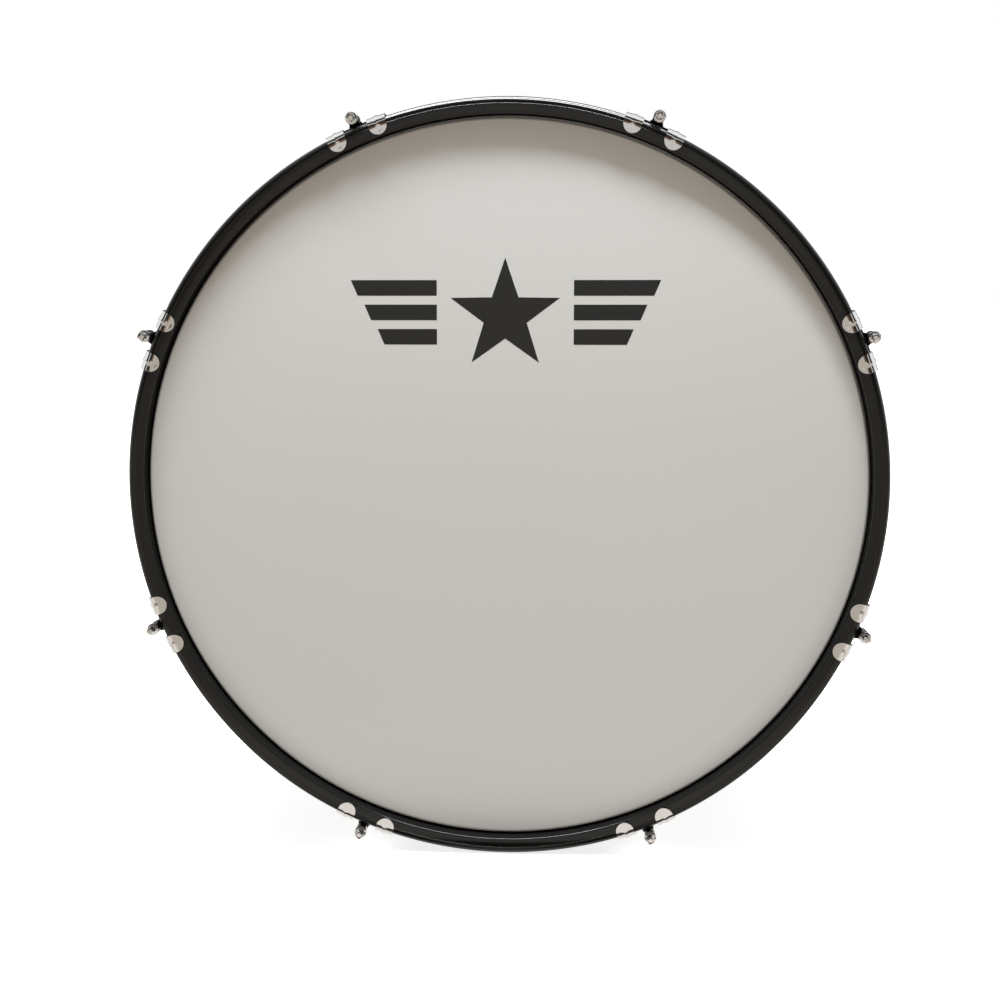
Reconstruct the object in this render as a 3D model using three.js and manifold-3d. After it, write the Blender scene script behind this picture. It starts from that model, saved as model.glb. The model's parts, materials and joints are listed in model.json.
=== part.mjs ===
// Marching bass drum with two heads, double claws and single-post tube lugs.
// Millimetres, +Z up. The drum stands on its hoops with its axis along Y, batter head towards -Y,
// and the origin is on the floor under its middle.
import * as THREE from 'three';
import { mergeVertices } from 'three/addons/utils/BufferGeometryUtils.js';
import Module from 'manifold-3d';

const wasm = await Module();
wasm.setup();

// ---- driving dimensions -------------------------------------------------------------------

const STATIONS = 8; // tension stations round each hoop
const RING_SIDES = 48; // flats round every ring, six to a station
const GAP = 0.3; // clearance between pieces that touch

const SHELL_RADIUS = 330; // 26 inch shell
const SHELL_WALL = 7.5;
const SHELL_DEPTH = 305; // 12 inches
const EDGE_PEAK_INSET = 2.5; // bearing edge peak, in from the outside of the shell
const VENT_RADIUS = 8;

const FILM_THICKNESS = 0.4;
const COLLAR_DEPTH = 18; // how far the head's collar reaches down the shell

const FLESH_HOOP_WIDTH = 8.6;
const FLESH_HOOP_HEIGHT = 10;
const FLESH_HOOP_DROP = 8.5; // from the bearing edge to the flesh hoop's front face

const HOOP_INNER_RADIUS = 332.8;
const HOOP_OUTER_RADIUS = 348;
const HOOP_FRONT = 165; // front face of a counterhoop, from the drum's middle
const HOOP_BACK = 131;
const HOOP_LIP_RADIUS = 341; // inside of the skirt that covers the flesh hoop
const SHOULDER_RADIUS = 5;
const INNER_CHAMFER = 1.4;

const ROD_CIRCLE_RADIUS = 356.5;
const ROD_RADIUS = 2.78; // 7/32 inch
const ROD_TIP = 26; // inner end of a rod, from the drum's middle
const ROD_COLLAR_RADIUS = 5.2;
const ROD_COLLAR_HEIGHT = 2;
const KEY_SIZE = 6.35; // square head for a drum key
const KEY_HEIGHT = 9.5;

const CLAW_THICKNESS = 1.6;
const CLAW_WIDTH = 17.2;
const CLAW_SPACING = 40; // between the two arms of a claw
const CLAW_TIP_RADIUS = 333.5; // how far in a claw reaches over the hoop's front face
const STRAP_CLEARANCE = 1.05; // claw strap to the outside of the hoop
const STRAP_BACK = 136;
const BRIDGE_FRONT = 149;
const BRIDGE_BACK = 138;
const BOSS_RADIUS = 5.4;
const BOSS_FRONT = 161;
const BOSS_BACK = 141;
const NECK_FOOT_WIDTH = 20;
const NECK_TOP_WIDTH = 10;

const LUG_RADIUS = 6.35;
const LUG_LENGTH = 96;
const LUG_BEAD_RADIUS = 7.4;
const LUG_BEAD_WIDTH = 5;
const POST_FOOT_RADIUS = 13;
const POST_FOOT_HEIGHT = 2.5;
const POST_WAIST_RADIUS = 6.2;
const SCREW_RADIUS = 3;
const SCREW_REACH = 12; // into the post, past the outside of the shell
const WASHER_RADIUS = 9;
const WASHER_HEIGHT = 2;
const SCREW_HEAD_RADIUS = 5.8;
const SCREW_HEAD_HEIGHT = 4;

const GROMMET_FLANGE_RADIUS = 12;
const GROMMET_FLANGE_HEIGHT = 1.4;
const GROMMET_WALL = 1.3;

// ---- derived places -----------------------------------------------------------------------

const CENTRE_HEIGHT = HOOP_OUTER_RADIUS;
const BEARING_EDGE = SHELL_DEPTH / 2;
const SHELL_INNER_RADIUS = SHELL_RADIUS - SHELL_WALL;
const FLESH_FRONT = BEARING_EDGE - FLESH_HOOP_DROP;
const STRAP_RADIUS = HOOP_OUTER_RADIUS + STRAP_CLEARANCE;
const STATION_ANGLE = (2 * Math.PI) / STATIONS;
const ARM_ANGLE = CLAW_SPACING / 2 / HOOP_OUTER_RADIUS;

// ---- materials ----------------------------------------------------------------------------

const finish = (color, roughness, metalness) =>
  new THREE.MeshStandardMaterial({ color, roughness, metalness });

const wrapBlack = finish(0x141414, 0.25, 0);
const hoopBlack = finish(0x1c1c1a, 0.22, 0);
const headWhite = finish(0xd4cec6, 0.2, 0);
const chrome = finish(0xd8d8d8, 0.08, 1);
const aluminium = finish(0xb9bcc0, 0.35, 1);
const zincPlate = finish(0xa8aaac, 0.4, 1);

// ---- solids -------------------------------------------------------------------------------

function toSolid(geometry) {
  const bare = geometry.clone();
  bare.deleteAttribute('normal');
  bare.deleteAttribute('uv');
  const merged = mergeVertices(bare, 1e-4);
  return new wasm.Manifold(new wasm.Mesh({
    numProp: 3,
    vertProperties: new Float32Array(merged.attributes.position.array),
    triVerts: new Uint32Array(merged.index.array),
  }));
}

function toGeometry(solid) {
  const mesh = solid.getMesh();
  const geometry = new THREE.BufferGeometry();
  geometry.setAttribute('position', new THREE.BufferAttribute(new Float32Array(mesh.vertProperties), 3));
  geometry.setIndex(new THREE.BufferAttribute(new Uint32Array(mesh.triVerts), 1));
  geometry.computeVertexNormals();
  return geometry;
}

const union = (geometries) =>
  toGeometry(geometries.map(toSolid).reduce((whole, piece) => whole.add(piece)));

const cut = (geometry, tools) =>
  toGeometry(tools.map(toSolid).reduce((whole, tool) => whole.subtract(tool), toSolid(geometry)));

const common = (geometry, other) =>
  toGeometry(toSolid(geometry).intersect(toSolid(other)));

// A round profile of [radius, height] points, turned about Y. The points run up the outside.
function turned(profile, sides) {
  return new THREE.LatheGeometry(profile.map(([r, y]) => new THREE.Vector2(r, y)), sides);
}

// A drum ring from a closed [radius, outward] profile. Its flats lie on the true radius, and one
// flat faces each station, the top and the floor.
function drumRing(profile) {
  const corner = 1 / Math.cos(Math.PI / RING_SIDES);
  const points = profile.map(([r, out]) => new THREE.Vector2(r * corner, out));
  return new THREE.LatheGeometry(points, RING_SIDES, Math.PI / RING_SIDES);
}

// A shape drawn in [radius, outward] and extruded across the station by width.
// Outward is -Y on the batter side.
function acrossStation(points, width) {
  const shape = new THREE.Shape(points.map(([r, out]) => new THREE.Vector2(r, out)));
  const geometry = new THREE.ExtrudeGeometry(shape, { depth: width, bevelEnabled: false });
  geometry.translate(0, 0, -width / 2);
  const radial = new THREE.Vector3(0, 0, 1);
  const outward = new THREE.Vector3(0, -1, 0);
  const tangent = new THREE.Vector3(1, 0, 0);
  return geometry.applyMatrix4(new THREE.Matrix4().makeBasis(radial, outward, tangent));
}

// A shape drawn in [across, radius] and extruded between two outward distances.
function alongStation(points, back, front) {
  const shape = new THREE.Shape(points.map(([x, r]) => new THREE.Vector2(x, r)));
  const geometry = new THREE.ExtrudeGeometry(shape, { depth: front - back, bevelEnabled: false });
  geometry.rotateX(Math.PI / 2);
  return geometry.translate(0, -back, 0);
}

// A cylinder along Y on the rod circle, between two outward distances.
function rodCylinder(radius, back, front, sides) {
  const geometry = new THREE.CylinderGeometry(radius, radius, front - back, sides);
  return geometry.translate(0, -(front + back) / 2, ROD_CIRCLE_RADIUS);
}

// A turned piece whose own axis is the station's radius.
function radialTurned(profile, sides) {
  return turned(profile, sides).rotateX(Math.PI / 2);
}

function arc(centre, radius, from, to, steps) {
  return Array.from({ length: steps + 1 }, (_, i) => {
    const angle = from + ((to - from) * i) / steps;
    return [centre[0] + radius * Math.cos(angle), centre[1] + radius * Math.sin(angle)];
  });
}

// ---- sub-parts ----------------------------------------------------------------------------

function shellGeometry() {
  const half = BEARING_EDGE;
  const peak = SHELL_RADIUS - EDGE_PEAK_INSET;
  const innerBevel = peak - SHELL_INNER_RADIUS;
  const body = drumRing([
    [SHELL_INNER_RADIUS, -half + innerBevel],
    [peak, -half],
    [SHELL_RADIUS, -half + EDGE_PEAK_INSET],
    [SHELL_RADIUS, half - EDGE_PEAK_INSET],
    [peak, half],
    [SHELL_INNER_RADIUS, half - innerBevel],
    [SHELL_INNER_RADIUS, -half + innerBevel],
  ]);
  const drill = (radius, sides, angle) => {
    const bit = new THREE.CylinderGeometry(radius, radius, 4 * SHELL_WALL, sides);
    bit.rotateX(Math.PI / 2);
    bit.translate(0, 0, SHELL_RADIUS - SHELL_WALL / 2);
    return bit.rotateY(angle);
  };
  const screwHoles = Array.from({ length: STATIONS }, (_, k) =>
    drill(SCREW_RADIUS + 2 * GAP, 8, (k + 0.5) * STATION_ANGLE));
  return cut(body, [...screwHoles, drill(VENT_RADIUS, 16, 0)]);
}

function headGeometry() {
  const inside = BEARING_EDGE + GAP;
  const outside = inside + FILM_THICKNESS;
  const collarInner = SHELL_RADIUS + GAP;
  const collarOuter = collarInner + FILM_THICKNESS;
  const bendInner = collarInner - EDGE_PEAK_INSET;
  const bendOuter = bendInner + FILM_THICKNESS / 2;
  const collarEnd = BEARING_EDGE - COLLAR_DEPTH;
  return drumRing([
    [0, inside],
    [bendInner, inside],
    [collarInner, inside - EDGE_PEAK_INSET],
    [collarInner, collarEnd],
    [collarOuter, collarEnd],
    [collarOuter, inside - EDGE_PEAK_INSET],
    [bendOuter, outside],
    [0, outside],
  ]);
}

function fleshHoopGeometry() {
  const inner = SHELL_RADIUS + GAP + FILM_THICKNESS + GAP;
  const outer = inner + FLESH_HOOP_WIDTH;
  const back = FLESH_FRONT - FLESH_HOOP_HEIGHT;
  return drumRing([
    [inner, back],
    [outer, back],
    [outer, FLESH_FRONT],
    [inner, FLESH_FRONT],
    [inner, back],
  ]);
}

function counterhoopGeometry() {
  const shoulderCentre = [HOOP_OUTER_RADIUS - SHOULDER_RADIUS, HOOP_FRONT - SHOULDER_RADIUS];
  const lipBack = FLESH_FRONT + GAP;
  return drumRing([
    [HOOP_INNER_RADIUS, lipBack],
    [HOOP_LIP_RADIUS, lipBack],
    [HOOP_LIP_RADIUS, HOOP_BACK],
    [HOOP_OUTER_RADIUS, HOOP_BACK],
    ...arc(shoulderCentre, SHOULDER_RADIUS, 0, Math.PI / 2, 3),
    [HOOP_INNER_RADIUS + INNER_CHAMFER, HOOP_FRONT],
    [HOOP_INNER_RADIUS, HOOP_FRONT - INNER_CHAMFER],
    [HOOP_INNER_RADIUS, lipBack],
  ]);
}

// One arm of a claw: a tongue on the hoop's front face, bent over its shoulder into a strap.
function clawArmGeometry() {
  const faceIn = HOOP_FRONT + GAP;
  const faceOut = faceIn + CLAW_THICKNESS;
  const bendInner = SHOULDER_RADIUS + GAP;
  const bendOuter = bendInner + CLAW_THICKNESS;
  const bendCentre = [STRAP_RADIUS - bendInner, faceIn - bendInner];
  const bent = acrossStation([
    [CLAW_TIP_RADIUS, faceIn],
    ...arc(bendCentre, bendInner, Math.PI / 2, 0, 3),
    [STRAP_RADIUS, STRAP_BACK],
    [STRAP_RADIUS + CLAW_THICKNESS, STRAP_BACK],
    ...arc(bendCentre, bendOuter, 0, Math.PI / 2, 3),
    [CLAW_TIP_RADIUS, faceOut],
  ], CLAW_WIDTH);
  const tipCentre = [0, CLAW_TIP_RADIUS + CLAW_WIDTH / 2];
  const top = STRAP_RADIUS + 2 * CLAW_THICKNESS;
  const tongue = alongStation([
    ...arc(tipCentre, CLAW_WIDTH / 2, Math.PI, 2 * Math.PI, 8),
    [CLAW_WIDTH / 2, top],
    [-CLAW_WIDTH / 2, top],
  ], STRAP_BACK - 1, faceOut + 1);
  return common(bent, tongue);
}

function clawGeometry() {
  const bridgeInner = STRAP_RADIUS;
  const bridgeOuter = STRAP_RADIUS + CLAW_THICKNESS;
  const bridgeHalf = CLAW_SPACING / 2 - CLAW_WIDTH / 2 + 3;
  const bridge = alongStation([
    [-bridgeHalf, bridgeInner],
    [bridgeHalf, bridgeInner],
    [bridgeHalf, bridgeOuter],
    [-bridgeHalf, bridgeOuter],
  ], BRIDGE_BACK, BRIDGE_FRONT);
  const neckFoot = bridgeInner + CLAW_THICKNESS / 2;
  const neck = alongStation([
    [-NECK_FOOT_WIDTH / 2, neckFoot],
    [NECK_FOOT_WIDTH / 2, neckFoot],
    [NECK_TOP_WIDTH / 2, ROD_CIRCLE_RADIUS - 1],
    [-NECK_TOP_WIDTH / 2, ROD_CIRCLE_RADIUS - 1],
  ], BOSS_BACK + 1, BRIDGE_FRONT - 1);
  const boss = rodCylinder(BOSS_RADIUS, BOSS_BACK, BOSS_FRONT, 12);
  const whole = union([
    clawArmGeometry().rotateY(ARM_ANGLE),
    clawArmGeometry().rotateY(-ARM_ANGLE),
    bridge,
    neck,
    boss,
  ]);
  return cut(whole, [rodCylinder(ROD_RADIUS + 2 * GAP, BOSS_BACK - 1, BOSS_FRONT + 1, 8)]);
}

function rodGeometry() {
  const collarBack = BOSS_FRONT + GAP;
  const keyBack = collarBack + ROD_COLLAR_HEIGHT;
  const key = new THREE.BoxGeometry(KEY_SIZE, KEY_HEIGHT + 1, KEY_SIZE);
  key.rotateY(Math.PI / 4);
  key.translate(0, -(keyBack + (KEY_HEIGHT - 1) / 2), ROD_CIRCLE_RADIUS);
  return union([
    rodCylinder(ROD_RADIUS, ROD_TIP, keyBack - 1, 8),
    rodCylinder(ROD_COLLAR_RADIUS, collarBack, keyBack, 12),
    key,
  ]);
}

// A tube lug on one round post. The rods enter its two ends.
function lugGeometry() {
  const base = SHELL_RADIUS + GAP;
  const half = LUG_LENGTH / 2;
  const postTop = ROD_CIRCLE_RADIUS - LUG_RADIUS + 1;
  const tube = rodCylinder(LUG_RADIUS, -half, half, 12);
  const beads = [-1, 1].map((end) => {
    const middle = end * (half - LUG_BEAD_WIDTH / 2);
    return rodCylinder(LUG_BEAD_RADIUS, middle - LUG_BEAD_WIDTH / 2, middle + LUG_BEAD_WIDTH / 2, 12);
  });
  const post = radialTurned([
    [0, base],
    [POST_FOOT_RADIUS, base],
    [POST_FOOT_RADIUS, base + POST_FOOT_HEIGHT],
    [POST_WAIST_RADIUS, base + 3 * POST_FOOT_HEIGHT],
    [POST_WAIST_RADIUS, postTop],
    [0, postTop],
  ], 12);
  const screwHole = radialTurned([
    [0, base - 1],
    [SCREW_RADIUS + 2 * GAP, base - 1],
    [SCREW_RADIUS + 2 * GAP, base + SCREW_REACH + 1],
    [0, base + SCREW_REACH + 1],
  ], 8);
  const bore = rodCylinder(ROD_RADIUS + 2 * GAP, -half - 1, half + 1, 8);
  return cut(union([tube, ...beads, post]), [screwHole, bore]);
}

// The screw and the washer that is pressed on it, from inside the shell into the lug's post.
function lugScrewGeometry() {
  const seat = SHELL_INNER_RADIUS - GAP;
  const washer = seat - WASHER_HEIGHT;
  return radialTurned([
    [0, washer - SCREW_HEAD_HEIGHT],
    [SCREW_HEAD_RADIUS, washer - SCREW_HEAD_HEIGHT],
    [SCREW_HEAD_RADIUS, washer],
    [WASHER_RADIUS, washer],
    [WASHER_RADIUS, seat],
    [SCREW_RADIUS, seat],
    [SCREW_RADIUS, SHELL_RADIUS + SCREW_REACH],
    [0, SHELL_RADIUS + SCREW_REACH],
  ], 12);
}

// The vent's eyelet, with a flange on each side of the shell wall.
function grommetGeometry() {
  const tubeOuter = VENT_RADIUS - 2 * GAP;
  const tubeInner = tubeOuter - GROMMET_WALL;
  const seatOut = SHELL_RADIUS + GAP;
  const seatIn = SHELL_INNER_RADIUS - GAP;
  return radialTurned([
    [tubeInner, seatIn - GROMMET_FLANGE_HEIGHT],
    [GROMMET_FLANGE_RADIUS, seatIn - GROMMET_FLANGE_HEIGHT],
    [GROMMET_FLANGE_RADIUS, seatIn],
    [tubeOuter, seatIn],
    [tubeOuter, seatOut],
    [GROMMET_FLANGE_RADIUS, seatOut],
    [GROMMET_FLANGE_RADIUS, seatOut + GROMMET_FLANGE_HEIGHT],
    [tubeInner, seatOut + GROMMET_FLANGE_HEIGHT],
    [tubeInner, seatIn - GROMMET_FLANGE_HEIGHT],
  ], 16);
}

// ---- assembly -----------------------------------------------------------------------------

const drum = new THREE.Group();
drum.position.z = CENTRE_HEIGHT;

function place(parent, name, geometry, material) {
  const mesh = new THREE.Mesh(geometry, material);
  mesh.name = name;
  parent.add(mesh);
}

place(drum, 'shell', shellGeometry(), wrapBlack);
place(drum, 'vent_grommet', grommetGeometry(), chrome);

const claw = clawGeometry();
const rod = rodGeometry();
const lug = lugGeometry();
const lugScrew = lugScrewGeometry();

// The pieces of one side are modelled on the batter side and turned round for the other.
for (const [side, turn] of [['batter', 0], ['resonant', Math.PI]]) {
  const rings = new THREE.Group();
  rings.rotation.z = turn + Math.PI;
  place(rings, `${side}_head`, headGeometry(), headWhite);
  place(rings, `${side}_flesh_hoop`, fleshHoopGeometry(), aluminium);
  place(rings, `${side}_counterhoop`, counterhoopGeometry(), hoopBlack);
  drum.add(rings);
}

for (let k = 0; k < STATIONS; k += 1) {
  const station = new THREE.Group();
  station.rotation.y = (k + 0.5) * STATION_ANGLE;
  place(station, `lug_${k + 1}`, lug, chrome);
  place(station, `lug_screw_${k + 1}`, lugScrew, zincPlate);
  for (const [side, turn] of [['batter', 0], ['resonant', Math.PI]]) {
    const end = new THREE.Group();
    end.rotation.z = turn;
    place(end, `${side}_claw_${k + 1}`, claw, chrome);
    place(end, `${side}_rod_${k + 1}`, rod, chrome);
    station.add(end);
  }
  drum.add(station);
}

export default drum;
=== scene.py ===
import json
import math

import bmesh
import bpy
from mathutils import Matrix, Vector

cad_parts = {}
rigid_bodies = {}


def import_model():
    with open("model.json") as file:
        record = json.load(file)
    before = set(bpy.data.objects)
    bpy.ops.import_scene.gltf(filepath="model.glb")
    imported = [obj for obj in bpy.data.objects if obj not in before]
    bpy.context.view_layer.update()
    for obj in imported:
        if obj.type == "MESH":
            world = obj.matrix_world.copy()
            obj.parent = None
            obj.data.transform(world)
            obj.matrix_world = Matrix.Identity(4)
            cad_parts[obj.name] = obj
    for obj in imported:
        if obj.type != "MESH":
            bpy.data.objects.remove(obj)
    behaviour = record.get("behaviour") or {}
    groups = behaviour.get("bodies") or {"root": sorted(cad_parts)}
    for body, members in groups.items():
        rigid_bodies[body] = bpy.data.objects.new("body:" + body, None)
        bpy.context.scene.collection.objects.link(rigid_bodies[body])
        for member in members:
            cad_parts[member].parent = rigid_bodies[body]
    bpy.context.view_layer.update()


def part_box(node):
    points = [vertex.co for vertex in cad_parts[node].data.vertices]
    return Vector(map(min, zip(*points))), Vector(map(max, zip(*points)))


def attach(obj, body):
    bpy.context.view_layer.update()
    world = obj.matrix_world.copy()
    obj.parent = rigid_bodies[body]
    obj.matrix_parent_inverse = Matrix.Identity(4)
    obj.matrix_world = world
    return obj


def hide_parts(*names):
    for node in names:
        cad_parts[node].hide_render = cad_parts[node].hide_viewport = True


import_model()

MM = 0.001
STATIONS = 8
SIDES = {"batter": -1, "resonant": 1}  # which way a side's outward direction points along Y

# ---- places taken from the frame ------------------------------------------------------------


def frame_box(node):
    low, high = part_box(node)
    return Vector(low) / MM, Vector(high) / MM


hoop_low, hoop_high = frame_box("resonant_counterhoop")
head_low, head_high = frame_box("resonant_head")
flesh_low, flesh_high = frame_box("resonant_flesh_hoop")
shell_low, shell_high = frame_box("shell")
lug_high = frame_box("lug_1")[1]
rod_low, rod_high = frame_box("resonant_rod_1")

CENTRE = (hoop_low.z + hoop_high.z) / 2
HOOP_RADIUS = (hoop_high.z - hoop_low.z) / 2
HOOP_FRONT = hoop_high.y
HOOP_BACK = hoop_low.y
FILM_FRONT = head_high.y
COLLAR_END = head_low.y
COLLAR_RADIUS = (head_high.z - head_low.z) / 2
FLESH_RADIUS = (flesh_high.z - flesh_low.z) / 2
FLESH_FRONT = flesh_high.y
FLESH_BACK = flesh_low.y
SHELL_RADIUS = (shell_high.z - shell_low.z) / 2
SHELL_HALF = shell_high.y
LUG_HALF = lug_high.y
ROD_TIP = rod_low.y
KEY_TIP = rod_high.y
STATION_ANGLE = 2 * math.pi / STATIONS
rod_centre = (rod_low + rod_high) / 2
ROD_CIRCLE = math.hypot(rod_centre.x, rod_centre.z - CENTRE)

# ---- sizes of the fine detail ---------------------------------------------------------------

RING_SIDES = 288

SHELL_WALL = 7.5
SHELL_INNER = SHELL_RADIUS - SHELL_WALL
EDGE_INSET = 2.5  # from the shell's outside to the crown of its bearing edge
EDGE_ROUNDING = 0.5
EDGE_ROUNDOVER = 2.2  # how far the counter-cut runs down the outside
WRAP_THICKNESS = 0.5
WRAP_INSET = 3.0  # bare wood left at each end of the shell
WRAP_GLUE = 0.02
WRAP_CHAMFER = 0.15
LAP_SECTION = [(-8.0, -0.2), (-8.0, 0.32), (-7.6, 0.45), (7.2, 0.5), (7.6, 0.42), (7.7, -0.2)]

HOOP_INNER = 332.8
HOOP_SKIRT_INNER = 341.0
HOOP_INNER_EDGE = 1.4
HOOP_SHOULDER = 6.0
HOOP_BACK_EDGE = 1.2
HOOP_SKIRT_EDGE = 0.8
HOOP_BEAD_INSET = 8.5  # from the inner wall to the fine bead on the face
HOOP_BEAD_RADIUS = 0.42

FLESH_WALL = 1.3
FLESH_CORNER = 0.9
FLESH_LIP = 0.5
FLESH_BED = 1.4  # depth of the bed that holds the film's rim
FILM_THICKNESS = 0.3
FILM_ROLL = 2.6
FILM_RINGS = (0.01, 40, 90, 150, 210, 270, 310)

ROD_RADIUS = 2.78
ROD_CLEARANCE = 0.5
ROD_SIDES = 18
THREAD_PITCH = 25.4 / 24
THREAD_DEPTH = 0.42
THREAD_LENGTH = 62.0
THREAD_STEPS = 6  # rings of points in one turn of thread
THREAD_LEAD = 0.6  # plain metal at either end of the thread
KEY_HALF = 6.35 / 2
KEY_CORNER = 0.55
ROD_TURN = 37  # degrees each rod has stopped past the one before it
ROD_START = {"batter": 20, "resonant": 5}

CLAW_SHEET = 1.4
CLAW_WIDTH = 17.2
CLAW_SPACING = 40.0
CLAW_TIP = 333.5
CLAW_FACE = HOOP_FRONT + 1.1  # middle of the sheet over the hoop's front face
STRAP_RADIUS = HOOP_RADIUS + 2.3
BEND_RADIUS = 10.5
STRAP_BACK = HOOP_FRONT - 28.0
LIP_RADIUS = 1.2
LIP_SWEEP = 55  # degrees the strap's end turns outwards
CLAW_FLAT = STRAP_RADIUS - BEND_RADIUS - CLAW_TIP
CLAW_BEND = BEND_RADIUS * math.pi / 2
CLAW_STRAIGHT = CLAW_FACE - BEND_RADIUS - STRAP_BACK
CLAW_LENGTH = CLAW_FLAT + CLAW_BEND + CLAW_STRAIGHT + LIP_RADIUS * math.radians(LIP_SWEEP)
CLAW_ROWS = 72
CLAW_COLUMNS = 20
RIB_HEIGHT = 0.8
RIB_HALF_WIDTH = 1.5
RIB_START = CLAW_FLAT + 0.6
RIB_END = CLAW_FLAT + CLAW_BEND + 4.0
RIB_RUN_IN = 2.4
RIB_RUN_OUT = 3.0
DIMPLE_DEPTH = 0.13
DIMPLE_PLACE = CLAW_FLAT - 2.4
DIMPLE_LENGTH = 1.1
DIMPLE_WIDTH = 2.2
BRIDGE_FRONT = HOOP_FRONT - 16.0
BRIDGE_BACK = HOOP_FRONT - 27.0
BRIDGE_SLOPE = 5.0  # how far the underside's front edge lies behind the top's
BRIDGE_TOP = STRAP_RADIUS + 0.5
BRIDGE_UNDER = STRAP_RADIUS - 0.65
NECK_HALF_WIDTH = 4.9
NECK_FLARE = 3.4
FLARE_POWER = 2.4
NECK_SQUARENESS = 0.45
BOSS_RADIUS = 5.3
BOSS_EDGE = 0.8
BOSS_FRONT = HOOP_FRONT - 4.0
BOSS_BACK = HOOP_FRONT - 24.0

BORE = ROD_RADIUS + ROD_CLEARANCE
COLLAR_BACK = BOSS_FRONT + 0.3
COLLAR_FRONT = COLLAR_BACK + 2.0

# [radius, distance] points of small turned parts, each from the face named beside it
ROD_COLLAR = [  # from the collar's front
    (5.5, -0.3), (5.1, 0.0), (4.6, 0.15), (3.6, 0.7), (3.0, 1.6), (2.6, 2.6),
]
TUBE_MIDDLE = [  # from the tube's middle
    (6.35, 15), (6.7, 14.2), (7.9, 12.6), (8.4, 10), (8.6, 6), (8.7, 0),
]
TUBE_NECK = [  # from the tube's end
    (6.2, 5.2), (6.35, 6.0), (6.35, 14), (6.9, 14.6), (6.9, 15.8), (6.35, 16.4),
]
TUBE_BEAD_CENTRE = 6.6
TUBE_BEAD = 0.8
POST_BASE = SHELL_RADIUS + 0.6
POST_TOP = ROD_CIRCLE - 4
POST_FOOT = [  # from the post's base
    (9.0, 0.0), (12.6, 0.0), (13.0, 0.4), (13.0, 1.6), (12.5, 2.2), (11.0, 2.6), (10.6, 3.0),
]
POST_STEM_START = 3.2
POST_WAIST = 6.0
POST_FLARE = 4.4
POST_SWELL = 6.4
POST_SWELL_START = 0.55  # as a part of the stem's length
SCREW_SEAT = SHELL_INNER - 0.15
SCREW_SHANK = [(2.9, 12), (3.0, 11)]  # from the shell's outside
SCREW_WASHER = [  # from the seat
    (3.0, 0.0), (9.0, 0.0), (9.0, 1.2), (8.4, 1.7), (6.4, 2.0), (5.0, 2.1), (5.0, 3.0),
]
SCREW_HEXAGON = [(5.8, 2.0), (5.8, 5.6), (5.0, 6.0)]  # from the seat
GASKET_BASE = SHELL_RADIUS - 0.1
GASKET = [(4, 0.0), (13.6, -0.25), (13.9, 0.1), (13.7, 0.55), (4, 0.65)]  # from its base
GROMMET_BORE = 6.1
GROMMET_BARREL = 7.4

EMBLEM_HEIGHT = 158.0  # above the drum's axis
INK_LIFT = 0.02
INK_THICKNESS = 0.06
STAR_OUTER = 52.0
STAR_INNER = 20.5
STAR_DROP = 3.0
BAR_ROWS = ((22.0, 140.0), (0.0, 128.0), (-22.0, 116.0))  # height and reach of each pair
BAR_START = 62.0
BAR_HALF = 7.0
BAR_SLANT = 6


# ---- mesh helpers ---------------------------------------------------------------------------


def arc(centre, radius, start, end, steps):
    """Points on an arc, angles in degrees from the first coordinate towards the second."""
    points = []
    for i in range(steps + 1):
        angle = math.radians(start + (end - start) * i / steps)
        points.append((centre[0] + radius * math.cos(angle), centre[1] + radius * math.sin(angle)))
    return points


def bridged(bm, here, there):
    """Quads between two closed loops of the same number of points."""
    for i in range(len(here)):
        k = (i + 1) % len(here)
        bm.faces.new((here[i], here[k], there[k], there[i]))


def skinned(bm, loops):
    """A closed solid through a row of closed loops, capped at both ends."""
    for here, there in zip(loops, loops[1:]):
        bridged(bm, here, there)
    bm.faces.new(loops[0])
    bm.faces.new(loops[-1])


def finish_mesh(name, bm, materials, sharp=35):
    """Turn a bmesh into a smooth-shaded object, with its edges past sharp degrees kept sharp."""
    bmesh.ops.remove_doubles(bm, verts=bm.verts, dist=1e-7)
    bmesh.ops.recalc_face_normals(bm, faces=bm.faces)
    mesh = bpy.data.meshes.new(name)
    bm.to_mesh(mesh)
    bm.free()
    for polygon in mesh.polygons:
        polygon.use_smooth = True
    mesh.set_sharp_from_angle(angle=math.radians(sharp))
    for material in materials:
        mesh.materials.append(material)
    piece = bpy.data.objects.new(name, mesh)
    bpy.context.scene.collection.objects.link(piece)
    return piece


def lathe(bm, profile, sides, place, closed=True, second=()):
    """Turn a [radius, along] profile. place(radius, angle, along) gives the point in metres.

    The faces that start at the profile points listed in second take the second material.
    """
    rings = []
    for i in range(sides):
        angle = 2 * math.pi * i / sides
        rings.append([bm.verts.new(place(r, angle, a)) for r, a in profile])
    last = len(profile) if closed else len(profile) - 1
    for i in range(sides):
        here, there = rings[i], rings[(i + 1) % sides]
        for j in range(last):
            k = (j + 1) % len(profile)
            face = bm.faces.new((here[j], there[j], there[k], here[k]))
            face.material_index = 1 if j in second else 0
    return rings


def about_drum(side):
    """Place points round the drum's axis, outward along the given side."""
    way = SIDES[side] if side else 1

    def place(r, angle, out):
        return Vector((r * math.sin(angle), way * out, CENTRE + r * math.cos(angle))) * MM

    return place


def about_axis(r, angle, out):
    """Place points round the drum's axis on the batter side, height measured from the axis."""
    return Vector((r * math.sin(angle), -out, r * math.cos(angle))) * MM


def about_rod(r, angle, out):
    """Place points round the rod axis of a batter station at the top, before it is turned."""
    return Vector((r * math.sin(angle), -out, ROD_CIRCLE + r * math.cos(angle))) * MM


def about_radius(r, angle, height):
    """Place points round a station's radius, height measured from the drum's axis."""
    return Vector((r * math.cos(angle), r * math.sin(angle), height)) * MM


def capped_lathe(bm, profile, sides, place):
    """A lathe whose profile starts and ends off the axis, closed by flat caps."""
    rings = lathe(bm, profile, sides, place, closed=False)
    for end in (0, -1):
        bm.faces.new([ring[end] for ring in rings])


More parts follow.
